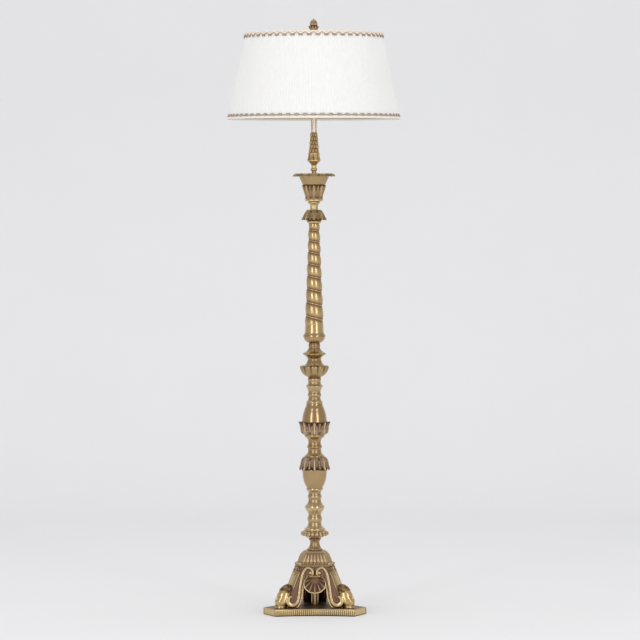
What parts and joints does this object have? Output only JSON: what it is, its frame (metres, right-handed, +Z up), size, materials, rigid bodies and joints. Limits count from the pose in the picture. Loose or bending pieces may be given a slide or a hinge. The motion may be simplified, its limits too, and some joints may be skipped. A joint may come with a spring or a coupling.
{
  "type": "candlestick floor lamp",
  "caption": "Floor lamp with a twisted brass candlestick column on a scroll-legged three-sided base and a pleated drum shade with braid trim.",
  "frame": {"origin": "on the floor under the column's axis, the centre of the bounding box's bottom", "axes": "+Z up the column; the base's front side faces -Y; +X to the right seen from the front"},
  "size_m": [0.4799, 0.48, 1.6499],
  "materials": {
    "aged_brass": "aged cast brass, satin, browned in the hollows",
    "dark_brass": "browned cast brass with rubbed edges",
    "polished_brass": "satin polished turned brass",
    "pale_brass": "worn pale brass",
    "socket_brass": "bright lacquered brass",
    "plated_steel": "zinc plated",
    "phenolic": "moulded",
    "card": "pressed card",
    "opal_glass": "opal",
    "pleated_cloth": "fine pleats",
    "lining_cloth": "plain",
    "braid": "woven braid",
    "coated_wire": "white"
  },
  "bodies": {
    "lamp": {"plinth": "aged_brass", "leg_left": "aged_brass", "leg_right": "aged_brass", "leg_back": "aged_brass", "mask_left": "aged_brass", "mask_right": "aged_brass", "mask_back": "aged_brass", "shell_front": "dark_brass", "shell_right": "dark_brass", "shell_left": "dark_brass", "pedestal_cap": "aged_brass", "core_tube": "polished_brass", "stem_pipe": "plated_steel", "bottom_washer": "plated_steel", "bottom_nut": "plated_steel", "cord_bushing": "phenolic", "neck_spool": "aged_brass", "gadroon_knop": "polished_brass", "lower_stem": "aged_brass", "urn": "polished_brass", "lower_leaf_collar": "dark_brass", "middle_stem": "polished_brass", "upper_leaf_collar": "dark_brass", "bell": "polished_brass", "ring_stem": "aged_brass", "petal_bowl": "dark_brass", "disc_knop": "polished_brass", "column_cup": "polished_brass", "twisted_column": "aged_brass", "leaf_skirt": "dark_brass", "leaf_cup": "aged_brass", "drip_pan": "dark_brass", "candle_nozzle": "aged_brass", "neck_tube": "pale_brass", "harp_saddle": "plated_steel", "harp": "plated_steel", "socket_cap": "socket_brass", "socket_shell": "socket_brass", "socket_liner": "card", "socket_body": "phenolic", "screw_shell": "plated_steel"},
    "shade": {"shade_spider": "socket_brass", "shade_bottom_ring": "coated_wire", "shade_lining": "lining_cloth", "shade_cover": "pleated_cloth", "trim_top": "braid", "trim_bottom": "braid"},
    "finial": {"finial": "dark_brass"},
    "switch_knob": {"switch_knob": "socket_brass"},
    "ferrule_left": {"ferrule_left": "socket_brass"},
    "ferrule_right": {"ferrule_right": "socket_brass"},
    "bulb": {"bulb_cap": "plated_steel", "bulb_glass": "opal_glass"}
  },
  "joints": [
    {"name": "shade_turn", "type": "hinge", "parent": "lamp", "child": "shade", "pos_m": [0, 0, 1.6], "axis": [0, 0, 1], "continuous": true},
    {"name": "finial_turn", "type": "hinge", "parent": "lamp", "child": "finial", "pos_m": [0, 0, 1.6], "axis": [0, 0, 1], "continuous": true},
    {"name": "knob_turn", "type": "hinge", "parent": "lamp", "child": "switch_knob", "pos_m": [0, -0.03, 1.4128], "axis": [0, -1, 0], "continuous": true},
    {"name": "bulb_turn", "type": "hinge", "parent": "lamp", "child": "bulb", "pos_m": [0, 0, 1.43], "axis": [0, 0, 1], "continuous": true},
    {"name": "ferrule_left_slide", "type": "slide", "parent": "lamp", "child": "ferrule_left", "axis": [0, 0, 1], "range_m": [0, 0.009]},
    {"name": "ferrule_right_slide", "type": "slide", "parent": "lamp", "child": "ferrule_right", "axis": [0, 0, 1], "range_m": [0, 0.009]}
  ]
}
